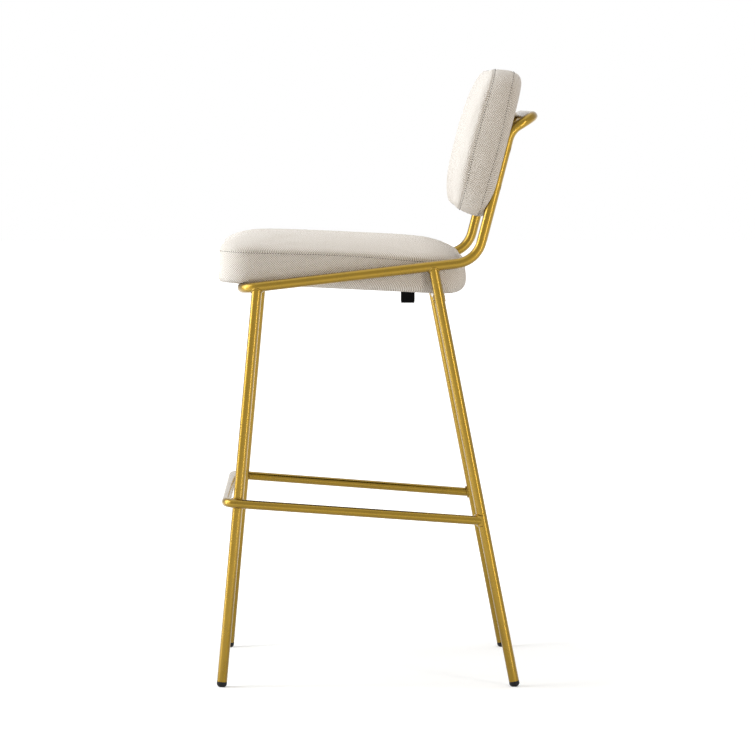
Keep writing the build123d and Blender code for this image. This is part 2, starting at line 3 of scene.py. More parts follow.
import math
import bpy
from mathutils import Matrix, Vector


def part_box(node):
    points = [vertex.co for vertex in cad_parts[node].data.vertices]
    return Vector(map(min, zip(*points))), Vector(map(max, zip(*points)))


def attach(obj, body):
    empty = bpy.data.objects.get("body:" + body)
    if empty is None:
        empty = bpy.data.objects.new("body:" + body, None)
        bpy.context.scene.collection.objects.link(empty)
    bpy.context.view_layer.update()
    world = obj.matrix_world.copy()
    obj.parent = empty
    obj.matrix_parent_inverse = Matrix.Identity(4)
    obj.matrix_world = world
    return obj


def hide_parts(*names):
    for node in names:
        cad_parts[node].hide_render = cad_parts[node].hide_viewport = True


bl_info = {
    "name": "Bar Stool With Footrest",
    "version": (1, 0, 0),
    "blender": (4, 5, 0),
    "location": "3D View > Sidebar > Bar Stool",
    "description": "Dresses the tube frame of a bar stool with sewn cushions, finishes and a plain studio",
    "category": "Object",
}

from functools import partial
from types import SimpleNamespace

import bmesh
import bpy
from bpy.props import FloatProperty, FloatVectorProperty, PointerProperty
from mathutils import Matrix, Vector
from mathutils.bvhtree import BVHTree

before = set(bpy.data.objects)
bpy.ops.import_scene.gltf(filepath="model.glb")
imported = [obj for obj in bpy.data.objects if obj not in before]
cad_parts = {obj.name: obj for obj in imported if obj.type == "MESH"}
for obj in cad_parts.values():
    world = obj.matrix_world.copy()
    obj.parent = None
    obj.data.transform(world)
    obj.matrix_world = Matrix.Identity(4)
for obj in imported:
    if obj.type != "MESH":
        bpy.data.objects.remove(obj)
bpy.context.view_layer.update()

MM = 0.001


def colour(hex_value):
    """Turn an sRGB hex value into linear red, green, blue and alpha."""
    parts = [int(hex_value[place : place + 2], 16) / 255 for place in (1, 3, 5)]
    linear = [part / 12.92 if part <= 0.04045 else ((part + 0.055) / 1.055) ** 2.4 for part in parts]
    return (*linear, 1.0)


def shaded(tint, share):
    """A colour made darker or lighter by a share, up to white."""
    return [min(1, part * share) for part in tint[:3]] + [1]


# Sizes and colours that a user would change
def length(name, description, millimetres):
    """A length property that is given in millimetres."""
    return FloatProperty(
        name=name, description=description, default=millimetres * MM, unit="LENGTH", subtype="DISTANCE"
    )


def lengths(name, description, millimetres):
    """Three lengths in millimetres: at the front or bottom, at the two sides, and at the rear or top."""
    default = [value * MM for value in millimetres]
    return FloatVectorProperty(name=name, description=description, default=default, size=3, unit="LENGTH")


def watts(name, description, power):
    """The power of a lamp in watts."""
    return FloatProperty(name=name, description=description, default=power, unit="POWER")


def paint(name, description, hex_value):
    """A colour property that is given as an sRGB hex value."""
    return FloatVectorProperty(
        name=name, description=description, default=colour(hex_value), size=4, min=0, max=1, subtype="COLOR"
    )


class StoolSeatSizes(bpy.types.PropertyGroup):
    """Sizes of the seat cushion, with heights above its underside."""

    front_overhang: length("Front overhang", "Seat ahead of the front bar's axis", 44.8)
    rear_overhang: length("Rear overhang", "Seat behind the rear seat bar's axis", 47.8)
    rest_height: length("Rest height", "From the bars' axes up to the underside of the cover", 10)
    edge_roll: length("Edge roll", "How far the edge of the cover hangs below the board", 3.2)
    bottom_round: lengths("Bottom round", "Radius under the front, the sides and the rear", (6, 14, 24))
    seam: lengths("Seam", "Height of the seam at the front, the sides and the rear", (51, 57.8, 48))
    seam_draw: lengths("Seam draw", "How far the seam pulls the outline in", (0.4, 3, 4))
    crown_run: lengths("Crown run", "Width of the rounded edge of the top panel", (69, 100, 82))
    crown_edge: lengths("Crown edge", "Height where the rounded edge ends", (86, 87.5, 88))
    crest: length("Crest", "Height of the seat's middle", 90)
    corner: length("Corner", "Corner radius of the outline", 55)


class StoolBackSizes(bpy.types.PropertyGroup):
    """Sizes of the backrest cushion, with depths ahead of its rear face."""

    height: length("Height", "Height of the cushion along the uprights", 262)
    lean: FloatProperty(
        name="Lean",
        description="Lean of the uprights",
        default=math.radians(14.5),
        subtype="ANGLE",
        unit="ROTATION",
    )
    board_middle: length("Board middle", "From the rear face to the middle of the board", 15.1)
    rear_round: lengths("Rear round", "Radius of the rear edge: bottom, sides and top", (17, 12, 21))
    rear_draw: length("Rear draw", "How far the rear seam pulls the outline in", 1.5)
    widest: length("Widest", "Depth where the side band is widest", 27)
    seam: lengths("Front seam", "Depth of the front seam: bottom, sides and top", (49, 55.5, 51))
    seam_draw: lengths("Seam draw", "How far the front seam pulls the outline in", (5, 5, 5))
    crown_run: lengths("Crown run", "Width of the rounded edge of the front panel", (66, 40, 96))
    crown_edge: lengths("Crown edge", "Depth where the rounded edge ends", (77.8, 76, 78))
    crest: length("Crest", "Depth of the front panel's middle", 77.8)
    corner: length("Corner", "Corner radius of the outline", 50)


class StoolSewing(bpy.types.PropertyGroup):
    """Sizes of the seams and of the stuffing's swell."""

    stitch_pitch: length("Stitch pitch", "From one stitch to the next", 4.7)
    stitch_length: length("Stitch length", "Visible part of one stitch", 2.5)
    thread: length("Thread", "Thickness of the sewing thread", 1.3)
    stitch_offset: length("Stitch offset", "From the seam to the row of stitches", 2.2)
    seam_depth: length("Seam depth", "Depth of the crease at the seam", 0.25)
    seam_reach: length("Seam reach", "Reach of the crease on each side of the seam", 2.0)
    ridge: length("Ridge", "Height of the folded edge beside the seam", 0.15)
    ridge_offset: length("Ridge offset", "From the seam to the folded edge", 2.6)
    swell: length("Swell", "How far the stuffing may push the cover out", 1.8)
    swell_reach: length("Swell reach", "Distance from a seam at which the cover swells in full", 26)
    pressure: FloatProperty(name="Pressure", description="Pressure of the stuffing in Cloth", default=1.2)


class StoolFinishes(bpy.types.PropertyGroup):
    """Colours of the finishes."""

    brass: paint("Brass lacquer", "Satin lacquer on the tubes", "#8C6E0C")
    fabric_light: paint("Light yarn", "Cream yarn of the cover", "#F8F5F0")
    fabric_base: paint("Base yarn", "Main yarn of the cover", "#ECE5DF")
    fabric_dark: paint("Dark yarn", "Taupe yarn of the cover", "#AA9C89")
    # The thread's dark colour is painted shade of the stitch dimples; the real sewing thread is beige like
    # the cloth.
    thread: paint("Thread", "Sewing thread", "#40362C")
    black_plastic: paint("Black plastic", "Moulded glides", "#0C0C0E")
    black_cloth: paint("Black cloth", "Dust cover and tag", "#050506")
    zinc: paint("Zinc", "Plated screws, washers, nuts and staples", "#B9BABC")
    plywood: paint("Plywood", "Boards in the cushions", "#C9A878")


class StoolStudio(bpy.types.PropertyGroup):
    """Camera and light of the studio."""

    eye: FloatVectorProperty(
        name="Eye",
        description="Place of the camera",
        default=(6.6157, -0.0793, 1.0299),
        subtype="XYZ",
        unit="LENGTH",
    )
    yaw: FloatProperty(name="Yaw", description="Turn to the rear", default=0.0126, subtype="ANGLE")
    pitch: FloatProperty(name="Pitch", description="Tilt down", default=0.0758, subtype="ANGLE")
    lens: FloatProperty(name="Lens", description="Focal length in millimetres", default=174.5, unit="CAMERA")
    ambient: FloatProperty(name="Ambient", description="Light from the room", default=1.0)
    key: watts("Key", "Soft box ahead of the stool", 70.0)
    strip: watts("Strip", "Narrow strip light ahead of the stool", 11.0)
    top: watts("Top", "Soft box above the stool", 22.0)
    side: watts("Side", "Strip light to the rear side", 9.0)
    fill: watts("Fill", "Strip light to the front side", 2.4)
    floor: paint("Floor", "Pale floor", "#CFCFCF")


# Small helpers
def wire(node, links=None, values=None):
    """Set a node's sockets, and link them to other sockets or to the first output of other nodes."""
    for socket, value in (values or {}).items():
        node.inputs[socket].default_value = value
    for socket, source in (links or {}).items():
        start = source.outputs[0] if isinstance(source, bpy.types.Node) else source
        node.id_data.links.new(start, node.inputs[socket])


def add_node(tree, kind, links=None, values=None, stops=None, **settings):
    """Add a node with its settings, its sockets and its ramp's stops, the two end stops first."""
    node = tree.nodes.new(kind)
    for name, value in settings.items():
        setattr(node, name, value)
    wire(node, links, values)
    for number, (position, tint) in enumerate((stops or {}).items()):
        ramp = node.color_ramp.elements
        stop = ramp[number] if number < 2 else ramp.new(position)
        stop.position, stop.color = position, tint
    return node


def empty_tree(owner):
    """Clear the node tree of a material or world, and return the call that adds a node to it."""
    owner.use_nodes = True
    owner.node_tree.nodes.clear()
    return partial(add_node, owner.node_tree)


def new_material(name):
    """A material with a main shader and its output, and the call that adds a node to it."""
    material = bpy.data.materials.new(name)
    add = empty_tree(material)
    shader = add("ShaderNodeBsdfPrincipled")
    add("ShaderNodeOutputMaterial", {"Surface": shader})
    return material, add, shader


def mesh_from(shape, name):
    """Turn a bmesh into a mesh, with all its faces turned the same way."""
    bmesh.ops.recalc_face_normals(shape, faces=shape.faces)
    mesh = bpy.data.meshes.new(name)
    shape.to_mesh(mesh)
    shape.free()
    return mesh


def add_object(name, data):
    """A new object in the scene."""
    made = bpy.data.objects.new(name, data)
    bpy.context.scene.collection.objects.link(made)
    return made


def finished_piece(name, mesh, material, nodes=()):
    """A piece in place, riding on the stool, in its finish and standing for its CAD nodes."""
    for face in mesh.polygons:
        face.use_smooth = True
    piece = add_object(name, mesh)
    mesh.materials.clear()
    mesh.materials.append(material)
    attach(piece, "root")
    if nodes:
        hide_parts(*nodes)
    return piece


def dress(nodes, material):
    """Give CAD nodes whose shape is right their finish."""
    for name in nodes:
        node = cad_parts[name]
        node.data.materials.clear()
        node.data.materials.append(material)


# Materials
def woven_polyester(finishes):
    """Woven polyester upholstery, cream and taupe yarn in a broken twill.

    The eye sees a matt off-white cloth with fine ribs on both diagonals, which take turns from patch
    to patch, and slubs in the yarn. The ribs are drawn about twice as wide as real ones, which would
    be too fine to show.
    """
    rib = 2.9 * MM
    slub = 1.6 * MM
    patch = 24 * MM
    bend = 4 * MM
    rib_contrast = 0.62
    slub_contrast = 0.8
    material, add, shader = new_material("woven_polyester")
    uv = add("ShaderNodeUVMap", uv_map="weave")
    parts = add("ShaderNodeSeparateXYZ", {0: uv}).outputs
    wander = add("ShaderNodeTexNoise", {"Vector": uv}, {"Scale": 1 / patch, "Detail": 1.0}).outputs["Fac"]
    shift = add("ShaderNodeMath", {0: wander}, {1: bend}, operation="MULTIPLY")
    pace = 2 * math.pi / (rib * math.sqrt(2))
    waves = []
    for direction in ("ADD", "SUBTRACT"):
        slope = add("ShaderNodeMath", {0: parts[0], 1: parts[1]}, operation=direction)
        place = add("ShaderNodeMath", {0: slope, 1: shift}, operation="ADD")
        turns = add("ShaderNodeMath", {0: place}, {1: pace}, operation="MULTIPLY")
        waves.append(add("ShaderNodeMath", {0: turns}, operation="SINE"))
    low, high = 0.35, 0.65
    limits = {"From Min": low, "From Max": high, "To Min": low, "To Max": high}
    turn_taking = add("ShaderNodeMapRange", {"Value": wander}, limits)
    ribs = add("ShaderNodeMix", {"Factor": turn_taking, 2: waves[0], 3: waves[1]})
    yarn = add(
        "ShaderNodeTexNoise", {"Vector": uv}, {"Scale": 1 / slub, "Detail": 2.0, "Roughness": 0.6}
    ).outputs["Fac"]
    weave = add("ShaderNodeMath", {0: ribs}, {1: rib_contrast, 2: 0.5}, operation="MULTIPLY_ADD")
    slub_values = {1: slub_contrast, 2: -slub_contrast / 2}
    lint = add("ShaderNodeMath", {0: yarn}, slub_values, operation="MULTIPLY_ADD")
    height = add("ShaderNodeMath", {0: weave, 1: lint}, operation="ADD")
    stops = {0.1: finishes.fabric_dark, 0.9: finishes.fabric_light, 0.5: finishes.fabric_base}
    tint = add("ShaderNodeValToRGB", {"Fac": height}, stops=stops)
    bump = add("ShaderNodeBump", {"Height": height}, {"Strength": 0.6, "Distance": 0.8 * MM})
    wire(
        shader,
        {"Base Color": tint, "Normal": bump},
        {"Roughness": 0.88, "Specular IOR Level": 0.2, "Sheen Weight": 0.12, "Sheen Roughness": 0.45},
    )
    return material


def twisted_thread(finishes):
    """Twisted polyester sewing thread, which shows as a row of small firm dashes with a ply twist; its dark
    colour is painted shade of the dimples where the stitches sink in, on a thread that is really beige.
    """
    ply = 0.9 * MM
    material, add, shader = new_material("thread_with_painted_dimple_shade")
    place = add("ShaderNodeTexCoord").outputs["Object"]
    twist = add(
        "ShaderNodeTexWave",
        {"Vector": place},
        {"Scale": 1 / (math.pi * ply), "Distortion": 1.0},
        bands_direction="DIAGONAL",
    ).outputs["Fac"]
    stops = {0: shaded(finishes.thread, 0.55), 1: finishes.thread}
    tint = add("ShaderNodeValToRGB", {"Fac": twist}, stops=stops)
    wire(shader, {"Base Color": tint}, {"Roughness": 0.6})
    return material


def brass_lacquer(finishes):
    """Brass-coloured metallic lacquer, sprayed on steel tube.

    The eye sees a satin gold with long soft reflections down each tube, a faint orange peel from the
    spray and slightly duller patches. The peel is drawn coarser than the real 0.5 mm to show.
    """
    peel = 1.4 * MM
    patch = 45 * MM
    low, high = 0.3, 0.7
    material, add, shader = new_material("brass_lacquer")
    place = add("ShaderNodeTexCoord").outputs["Object"]
    patches = add(
        "ShaderNodeTexNoise", {"Vector": place}, {"Scale": 1 / patch, "Detail": 3.0, "Roughness": 0.6}
    ).outputs["Fac"]
    stops = {low: shaded(finishes.brass, 0.9), high: finishes.brass}
    tint = add("ShaderNodeValToRGB", {"Fac": patches}, stops=stops)
    gloss = add(
        "ShaderNodeMapRange",
        {"Value": patches},
        {"From Min": low, "From Max": high, "To Min": 0.24, "To Max": 0.32},
    )
    grain = add("ShaderNodeTexNoise", {"Vector": place}, {"Scale": 1 / peel, "Detail": 2.0}).outputs["Fac"]
    bump = add("ShaderNodeBump", {"Height": grain}, {"Strength": 0.01, "Distance": 0.1 * MM})
    wire(
        shader,
        {"Base Color": tint, "Roughness": gloss, "Normal": bump},
        {"Metallic": 1.0, "Coat Weight": 0.6, "Coat Roughness": 0.15},
    )
    return material


def moulded_polypropylene(name, base):
    """Moulded polypropylene, which shows a dull skin with a fine spark grain from the mould."""
    spark = 0.9 * MM
    material, add, shader = new_material(name)
    place = add("ShaderNodeTexCoord").outputs["Object"]
    grain = add("ShaderNodeTexNoise", {"Vector": place}, {"Scale": 1 / spark, "Detail": 3.0}).outputs["Fac"]
    stops = {0: shaded(base, 0.75), 1: shaded(base, 1.25)}
    tint = add("ShaderNodeValToRGB", {"Fac": grain}, stops=stops)
    gloss = add("ShaderNodeMapRange", {"Value": grain}, {"To Min": 0.38, "To Max": 0.55})
    bump = add("ShaderNodeBump", {"Height": grain}, {"Strength": 0.15, "Distance": 0.1 * MM})
    wire(
        shader,
        {"Base Color": tint, "Roughness": gloss, "Normal": bump},
        {"IOR": 1.49, "Specular IOR Level": 0.25},
    )
    return material


def bonded_fleece(finishes):
    """Spun-bonded polypropylene fleece, black, with the dotted weld pattern of the calender."""
    dot_spacing = 3.0 * MM
    fibre = 1.2 * MM
    material, add, shader = new_material("bonded_black_fleece")
    place = add("ShaderNodeTexCoord").outputs["Object"]
    dots = add("ShaderNodeTexVoronoi", {"Vector": place}, {"Scale": 1 / dot_spacing, "Randomness": 0.25})
    fibres = add(
        "ShaderNodeTexNoise", {"Vector": place}, {"Scale": 1 / fibre, "Detail": 3.0, "Distortion": 1.5}
    ).outputs["Fac"]
    height = add("ShaderNodeMath", {0: dots.outputs["Distance"], 1: fibres}, operation="ADD")
    stops = {0: shaded(finishes.black_cloth, 0.6), 1: shaded(finishes.black_cloth, 1.8)}
    tint = add("ShaderNodeValToRGB", {"Fac": fibres}, stops=stops)
    bump = add("ShaderNodeBump", {"Height": height}, {"Strength": 0.4, "Distance": 0.3 * MM})
    wire(shader, {"Base Color": tint, "Normal": bump}, {"Roughness": 0.85})
    return material


def woven_ribbon(finishes):
    """Woven black ribbon, which shows fine cross ribs and a slight satin sheen."""
    rib = 1.1 * MM
    material, add, shader = new_material("woven_black_ribbon")
    place = add("ShaderNodeTexCoord").outputs["Object"]
    ribs = add(
        "ShaderNodeTexWave",
        {"Vector": place},
        {"Scale": 1 / (math.pi * rib), "Distortion": 0.4},
        bands_direction="Z",
    ).outputs["Fac"]
    stops = {0: shaded(finishes.black_cloth, 0.6), 1: shaded(finishes.black_cloth, 1.6)}
    tint = add("ShaderNodeValToRGB", {"Fac": ribs}, stops=stops)
    bump = add("ShaderNodeBump", {"Height": ribs}, {"Strength": 0.4, "Distance": 0.2 * MM})
    wire(shader, {"Base Color": tint, "Normal": bump}, {"Roughness": 0.6, "Specular IOR Level": 0.05})
    return material


def zinc_plate(finishes):
    """Bright zinc plate on steel, which shows a cool grey with cloudy spangle."""
    spangle = 4 * MM
    material, add, shader = new_material("zinc_plated_steel")
    place = add("ShaderNodeTexCoord").outputs["Object"]
    cloud = add(
        "ShaderNodeTexNoise", {"Vector": place}, {"Scale": 1 / spangle, "Detail": 3.0}
    ).outputs["Fac"]
    gloss = add("ShaderNodeMapRange", {"Value": cloud}, {"To Min": 0.25, "To Max": 0.45})
    stops = {0: shaded(finishes.zinc, 0.8), 1: finishes.zinc}
    tint = add("ShaderNodeValToRGB", {"Fac": cloud}, stops=stops)
    wire(shader, {"Base Color": tint, "Roughness": gloss}, {"Metallic": 1.0})
    return material


def birch_plywood(finishes):
    """Birch plywood, sawn and unfinished, which shows thin plies on its edge and pale grain on its face."""
    ply = 1.5 * MM
    grain_width = 2.5 * MM
    stretch = (1.0, 0.08, 1.0)
    ply_contrast = 0.25
    material, add, shader = new_material("birch_plywood")
    place = add("ShaderNodeTexCoord").outputs["Object"]
    drawn_out = add("ShaderNodeMapping", {"Vector": place}, {"Scale": stretch})
    grain = add(
        "ShaderNodeTexNoise",
        {"Vector": drawn_out},
        {"Scale": 1 / grain_width, "Detail": 4.0, "Distortion": 0.6},
    ).outputs["Fac"]
    plies = add(
        "ShaderNodeTexWave", {"Vector": place}, {"Scale": 1 / (math.pi * ply)}, bands_direction="Z"
    ).outputs["Fac"]
    mixed = add("ShaderNodeMath", {0: plies, 2: grain}, {1: ply_contrast}, operation="MULTIPLY_ADD")
    stops = {0: shaded(finishes.plywood, 0.6), 1: finishes.plywood}
    tint = add("ShaderNodeValToRGB", {"Fac": mixed}, stops=stops)
    wire(shader, {"Base Color": tint}, {"Roughness": 0.7})
    return material


# Shape of a sewn pad
def by_side(values):
    """Values of the four sides from three: front or bottom, left, rear or top, right.

    A row of a pad holds a height and an inset for each side, in this order.
    """
    return values[0], values[1], values[2], values[1]


def smooth(share):
    """Ease from 0 to 1."""
    share = min(1.0, max(0.0, share))
    return share * share * (3 - 2 * share)


def crown_rows(pad, seam, draw, edge, run, crest, rounded_rows, flat_rows):
    """Rows of a panel from its seam over a rounded edge to the middle line of the pad."""
    middle_line = min(pad.half_width, pad.half_depth)
    crowding = 1.25
    rows = []
    for number in range(rounded_rows + 1):
        angle = math.pi / 2 * (number / rounded_rows) ** crowding
        rise, run_share = math.sin(angle), 1 - math.cos(angle)
        rows.append(
            [(seam[s] + (edge[s] - seam[s]) * rise, draw[s] + run[s] * run_share) for s in range(4)]
        )
    for number in range(1, flat_rows + 1):
        share = number / flat_rows
        dome = 1 - (1 - share) ** 2
        starts = [draw[s] + run[s] for s in range(4)]
        rows.append(
            [
                (edge[s] + (crest - edge[s]) * dome, starts[s] + (middle_line - starts[s]) * share)
                for s in range(4)
            ]
        )
    return rows


def row_lengths(rows):
    """For each side, the distance of each row from the first one along the cloth."""
    sides = []
    for side in range(4):
        distances = [0.0]
        for one, other in zip(rows, rows[1:]):
            distances.append(distances[-1] + math.dist(one[side], other[side]))
        sides.append(distances)
    return sides


def outline(pad, insets):
    """Middle, half sizes and corner radius of the outline at the insets of its four sides."""
    low = Vector((insets[3] - pad.half_width, insets[0] - pad.half_depth))
    high = Vector((pad.half_width - insets[1], pad.half_depth - insets[2]))
    half = (high - low) / 2
    growth, roundest = 0.25, 0.8
    fuller_corner = pad.corner + growth * sum(insets) / 4
    return (low + high) / 2, half, max(0.0, min(fuller_corner, roundest * min(half)))


def side_length(pad, insets, side):
    """Length of one side of the outline, from the middle of one corner to the next."""
    _, half, corner = outline(pad, insets)
    return 2 * (half[side % 2] - corner) + corner * math.pi / 2


def outline_point(pad, insets, side, share):
    """Point on the outline at the insets, at a share of one of its four sides."""
    centre, half, corner = outline(pad, insets)
    straight, out = half[side % 2] - corner, half[(side + 1) % 2]
    from_middle = (share - 0.5) * side_length(pad, insets, side)
    reach = abs(from_middle)
    if reach > straight:
        angle = (reach - straight) / corner if corner else 0.0
        reach = straight + corner * math.sin(angle)
        out -= corner * (1 - math.cos(angle))
    reach = math.copysign(reach, from_middle)
    x, y = ((reach, -out), (out, reach), (-reach, out), (-out, -reach))[side]
    return centre.x + x, centre.y + y


def row_point(pad, row, side, share, drawn=0.0):
    """Point of a row, where the heights of two sides run into each other round their corner."""
    x, y = outline_point(pad, [inset + drawn for _, inset in row], side, share)
    beside = (side + (1 if share > 0.5 else -1)) % 4
    mix = 0.5 * smooth(abs(2 * share - 1))
    return Vector((x, y, row[side][0] * (1 - mix) + row[beside][0] * mix))


def ring_place(column, rank, columns, ranks):
    """Ring of the grid that a point is on, the ring's side, and the share of that side."""
    ring = min(column, columns - column, rank, ranks - rank)
    wide, deep = columns - 2 * ring, ranks - 2 * ring
    if wide == 0:
        return ring, 1, (rank - ring) / deep if deep else 0.5
    if deep == 0 or rank == ring:
        return ring, 0, (column - ring) / wide
    if column == columns - ring:
        return ring, 1, (rank - ring) / deep
    if rank == ranks - ring:
        return ring, 2, (columns - ring - column) / wide
    return ring, 3, (ranks - ring - rank) / deep


def blank_pad(pad):
    """A cube cut into a grid, with one ring of cells for each row of the pad's panels."""
    rings = len(pad.top_rows) - 1
    spare = round(abs(pad.half_width - pad.half_depth) / pad.cell) * 2
    pad.columns = 2 * rings + (spare if pad.half_width > pad.half_depth else 0)
    pad.ranks = 2 * rings + (spare if pad.half_depth > pad.half_width else 0)
    pad.courses = len(pad.band_rows) - 1
    tolerance = 1e-6
    mesh = bmesh.new()
    bmesh.ops.create_cube(mesh, size=2.0)
    for axis, cells in enumerate((pad.columns, pad.ranks, pad.courses)):
        along = []
        for edge in mesh.edges:
            start, end = (vertex.co[axis] for vertex in edge.verts)
            if abs(start - end) > tolerance:
                along.append(edge)
        bmesh.ops.subdivide_edges(mesh, edges=along, cuts=cells - 1, use_grid_fill=True)
    return mesh


def crease_at(distance, sewing):
    """Share of the seam's crease at a distance from the seam."""
    steepness = 2.5
    return math.exp(-((distance / sewing.seam_reach) ** 2) * steepness)


def sewn_pad(name, pad, place, sewing):
    """A closed pad sewn from a top panel, a side band and a bottom panel, in place as a mesh."""
    seam_firmness = 0.6
    band_looseness = 0.35
    far = 1.0
    grid = blank_pad(pad)
    held = grid.verts.layers.deform.verify()
    slack = grid.verts.layers.float.new("slack")
    weave = grid.loops.layers.uv.new("weave")
    crease = grid.edges.layers.float.new("crease_edge")
    top_lengths, bottom_lengths = row_lengths(pad.top_rows), row_lengths(pad.bottom_rows)
    band_lengths = row_lengths(pad.band_rows)
    cells = (pad.columns, pad.ranks, pad.courses)
    places = {}
    for vertex in grid.verts:
        places[vertex] = tuple(round((vertex.co[axis] + 1) / 2 * cells[axis]) for axis in range(3))
    # The cloth's own flat coordinates follow each panel
    band_sides = [side_length(pad, (0, 0, 0, 0), side) for side in range(4)]
    band_starts = [sum(band_sides[:side]) for side in range(4)]
    for face in grid.faces:
        normal = face.normal
        for loop in face.loops:
            column, rank, course = places[loop.vert]
            ring, side, share = ring_place(column, rank, pad.columns, pad.ranks)
            if abs(normal.z) > 0.5:
                rows, distances = (
                    (pad.top_rows, top_lengths) if normal.z > 0 else (pad.bottom_rows, bottom_lengths)
                )
                flat = [rows[-1][s][1] - (distances[s][-1] - distances[s][ring]) for s in range(4)]
                loop[weave].uv = outline_point(pad, flat, side, share)
            else:
                side = 0 if normal.y < -0.5 else 2 if normal.y > 0.5 else 1 if normal.x > 0.5 else 3
                wide, deep = column / pad.columns, rank / pad.ranks
                share = (wide, deep, 1 - wide, 1 - deep)[side]
                along = band_starts[side] + share * band_sides[side]
                loop[weave].uv = (along, band_lengths[side][course])
    for edge in grid.edges:
        ends = [places[vertex] for vertex in edge.verts]
        for course, sewn in ((pad.courses, True), (0, pad.bottom_sewn)):
            on_seam = all(end[2] == course and ring_place(*end[:2], *cells[:2])[0] == 0 for end in ends)
            if sewn and on_seam:
                edge[crease] = seam_firmness
    for vertex in grid.verts:
        column, rank, course = places[vertex]
        ring, side, share = ring_place(column, rank, pad.columns, pad.ranks)
        ridge = 0.0
        if course == pad.courses:
            row, from_seam = pad.top_rows[ring], top_lengths[side][ring]
            looseness = smooth(from_seam / sewing.swell_reach)
            ridge = sewing.ridge * crease_at(from_seam - sewing.ridge_offset, sewing)
        elif course == 0:
            row, from_seam = pad.bottom_rows[ring], bottom_lengths[side][ring] if pad.bottom_sewn else far
            looseness = 0.0
        else:
            row, distances = pad.band_rows[course], band_lengths[side]
            from_seam = distances[-1] - distances[course]
            if pad.bottom_sewn:
                from_seam = min(from_seam, distances[course])
            from_held = max(0.0, distances[course] - distances[pad.held_courses])
            looseness = band_looseness * smooth(min(from_seam, from_held) / sewing.swell_reach * 2)
        drawn = sewing.seam_depth * crease_at(from_seam, sewing) - ridge
        if 2 * ring >= min(pad.columns, pad.ranks):
            drawn = 0.0
        vertex.co = place @ row_point(pad, row, side, share, drawn)
        vertex[slack] = sewing.swell * looseness
        if looseness == 0.0:
            vertex[held][0] = 1.0
    return mesh_from(grid, name)


def swell(mesh, sewing):
    """Crumple the cover in by its slack, then let Cloth press it out to the size it was cut to."""
    slack = [item.value for item in mesh.attributes["slack"].data]
    mesh.attributes.remove(mesh.attributes["slack"])
    cut = [vertex.co.copy() for vertex in mesh.vertices]
    normals = [vertex.normal.copy() for vertex in mesh.vertices]
    for vertex, normal, most in zip(mesh.vertices, normals, slack):
        vertex.co -= normal * most
    scene = bpy.context.scene
    body = add_object("swelling_pad", mesh)
    body.shape_key_add(name="start")
    pattern = body.shape_key_add(name="pattern")
    for point, place in zip(pattern.data, cut):
        point.co = place
    body.vertex_groups.new(name="held")
    solver = body.modifiers.new("Stuffing", "CLOTH")
    cloth = solver.settings
    cloth.quality = 6
    cloth.mass = 0.3
    cloth.tension_stiffness = 25
    cloth.compression_stiffness = 25
    cloth.shear_stiffness = 12
    cloth.bending_stiffness = 2
    cloth.use_pressure = True
    cloth.uniform_pressure_force = sewing.pressure
    cloth.effector_weights.gravity = 0
    cloth.vertex_group_mass = "held"
    cloth.rest_shape_key = pattern
    solver.collision_settings.use_collision = False
    last_frame = 20
    solver.point_cache.frame_start = 1
    solver.point_cache.frame_end = last_frame
    for number in range(1, last_frame + 1):
        scene.frame_set(number)
    solved = body.evaluated_get(bpy.context.evaluated_depsgraph_get())
    swollen = [vertex.co.copy() for vertex in solved.data.vertices]
    body.shape_key_clear()
    for vertex, target, most in zip(mesh.vertices, swollen, slack):
        step = target - vertex.co
        if step.length > most:
            step *= most / step.length
        vertex.co += step
    scene.frame_set(1)
    bpy.data.objects.remove(body)


def subdivided(mesh):
    """The same mesh after one level of subdivision, with its seams kept firm."""
    body = add_object("subdivided_pad", mesh)
    finer = body.modifiers.new("Subdivision", "SUBSURF")
    finer.levels = finer.render_levels = 1
    made = bpy.data.meshes.new_from_object(body.evaluated_get(bpy.context.evaluated_depsgraph_get()))
    made.name = mesh.name
    bpy.data.objects.remove(body)
    bpy.data.meshes.remove(mesh)
    return made


def surface_of(mesh):
    """Search tree of a mesh's faces."""
    return BVHTree.FromPolygons(
        [vertex.co for vertex in mesh.vertices], [face.vertices for face in mesh.polygons]
    )


def stitch_rows(name, pad, place, mesh, rows, sewing):
    """Short threads along the seams, lying on the cover."""
    ahead, proud = 0.1, 0.2
    surface = surface_of(mesh)
    thread = bmesh.new()
    for row in rows:
        insets = [inset for _, inset in row]
        sides = [side_length(pad, insets, side) for side in range(4)]
        count = round(sum(sides) / sewing.stitch_pitch)
        for number in range(count):
            points = []
            for step in (0.0, ahead):
                distance = (number + step) / count * sum(sides)
                side = 0
                while side < 3 and distance > sides[side]:
                    distance -= sides[side]
                    side += 1
                points.append(place @ row_point(pad, row, side, distance / sides[side]))
            spot, normal, _, _ = surface.find_nearest(points[0])
            along = (points[1] - points[0]).normalized()
            across = normal.cross(along).normalized()
            out = along.cross(across)
            centre = spot + out * sewing.thread * proud
            size = Matrix.Diagonal((sewing.thread / 2, sewing.thread / 2, sewing.stitch_length / 2, 1))
            spread = plane(centre, across, out) @ size
            bmesh.ops.create_uvsphere(thread, u_segments=6, v_segments=4, radius=1.0, matrix=spread)
    return mesh_from(thread, name)


def press_tubes(mesh, place, nodes):
    """Press the underside or rear of a cover in where tubes lie against it."""
    gap = 0.8 * MM
    start = 40 * MM
    reach = 4 * MM
    deepest = 14 * MM
    out = place.to_3x3() @ Vector((0, 0, 1))
    flat = place.inverted()
    for node in nodes:
        metal = surface_of(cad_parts[node].data)
        for vertex in mesh.vertices:
            local = flat @ vertex.co
            if local.z > deepest:
                continue
            spot, _, _, _ = metal.ray_cast(place @ Vector((local.x, local.y, start)), -out, start + reach)
            if spot is not None:
                pressed = (flat @ spot).z + gap
                if local.z < pressed:
                    vertex.co = place @ Vector((local.x, local.y, pressed))


